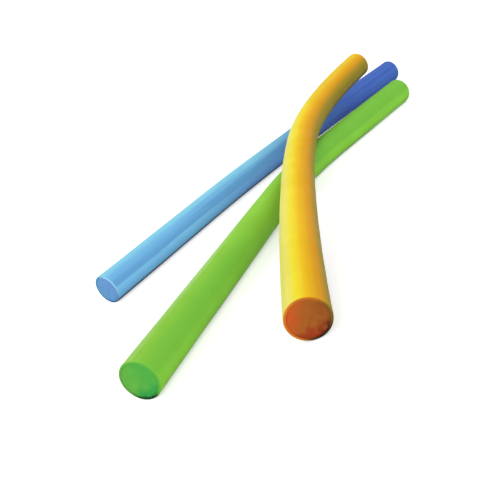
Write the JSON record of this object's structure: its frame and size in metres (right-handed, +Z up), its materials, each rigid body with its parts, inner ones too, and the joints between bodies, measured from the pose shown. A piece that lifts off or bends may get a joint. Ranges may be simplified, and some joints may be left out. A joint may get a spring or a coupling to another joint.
{
  "type": "pool noodle set",
  "caption": "Loose set of solid foam swimming noodles in blue, green and yellow, gently bent, the yellow one lying across the green one.",
  "frame": {"origin": "on the floor, below the middle of the whole set's outline", "axes": "+Z up; +Y away from the three near ends, the way the set runs; +X to the right, towards the side that the noodles bend to"},
  "size_m": [0.966, 1.3936, 0.1624],
  "materials": {
    "green_foam": "matte",
    "green_skin": "satin",
    "blue_foam": "matte",
    "blue_skin": "satin",
    "yellow_foam": "matte",
    "yellow_skin": "satin"
  },
  "bodies": {
    "green_noodle": {"green_core": "green_foam", "green_skin": "green_skin"},
    "blue_noodle": {"blue_core": "blue_foam", "blue_skin": "blue_skin"},
    "yellow_noodle": {"yellow_core": "yellow_foam", "yellow_skin": "yellow_skin"}
  },
  "joints": [
    {"name": "yellow_lift", "type": "slide", "parent": "green_noodle", "child": "yellow_noodle", "axis": [0, 0, 1], "range_m": [0, 0.3]},
    {"name": "blue_lift", "type": "slide", "parent": "green_noodle", "child": "blue_noodle", "axis": [0, 0, 1], "range_m": [0, 0.3]}
  ]
}
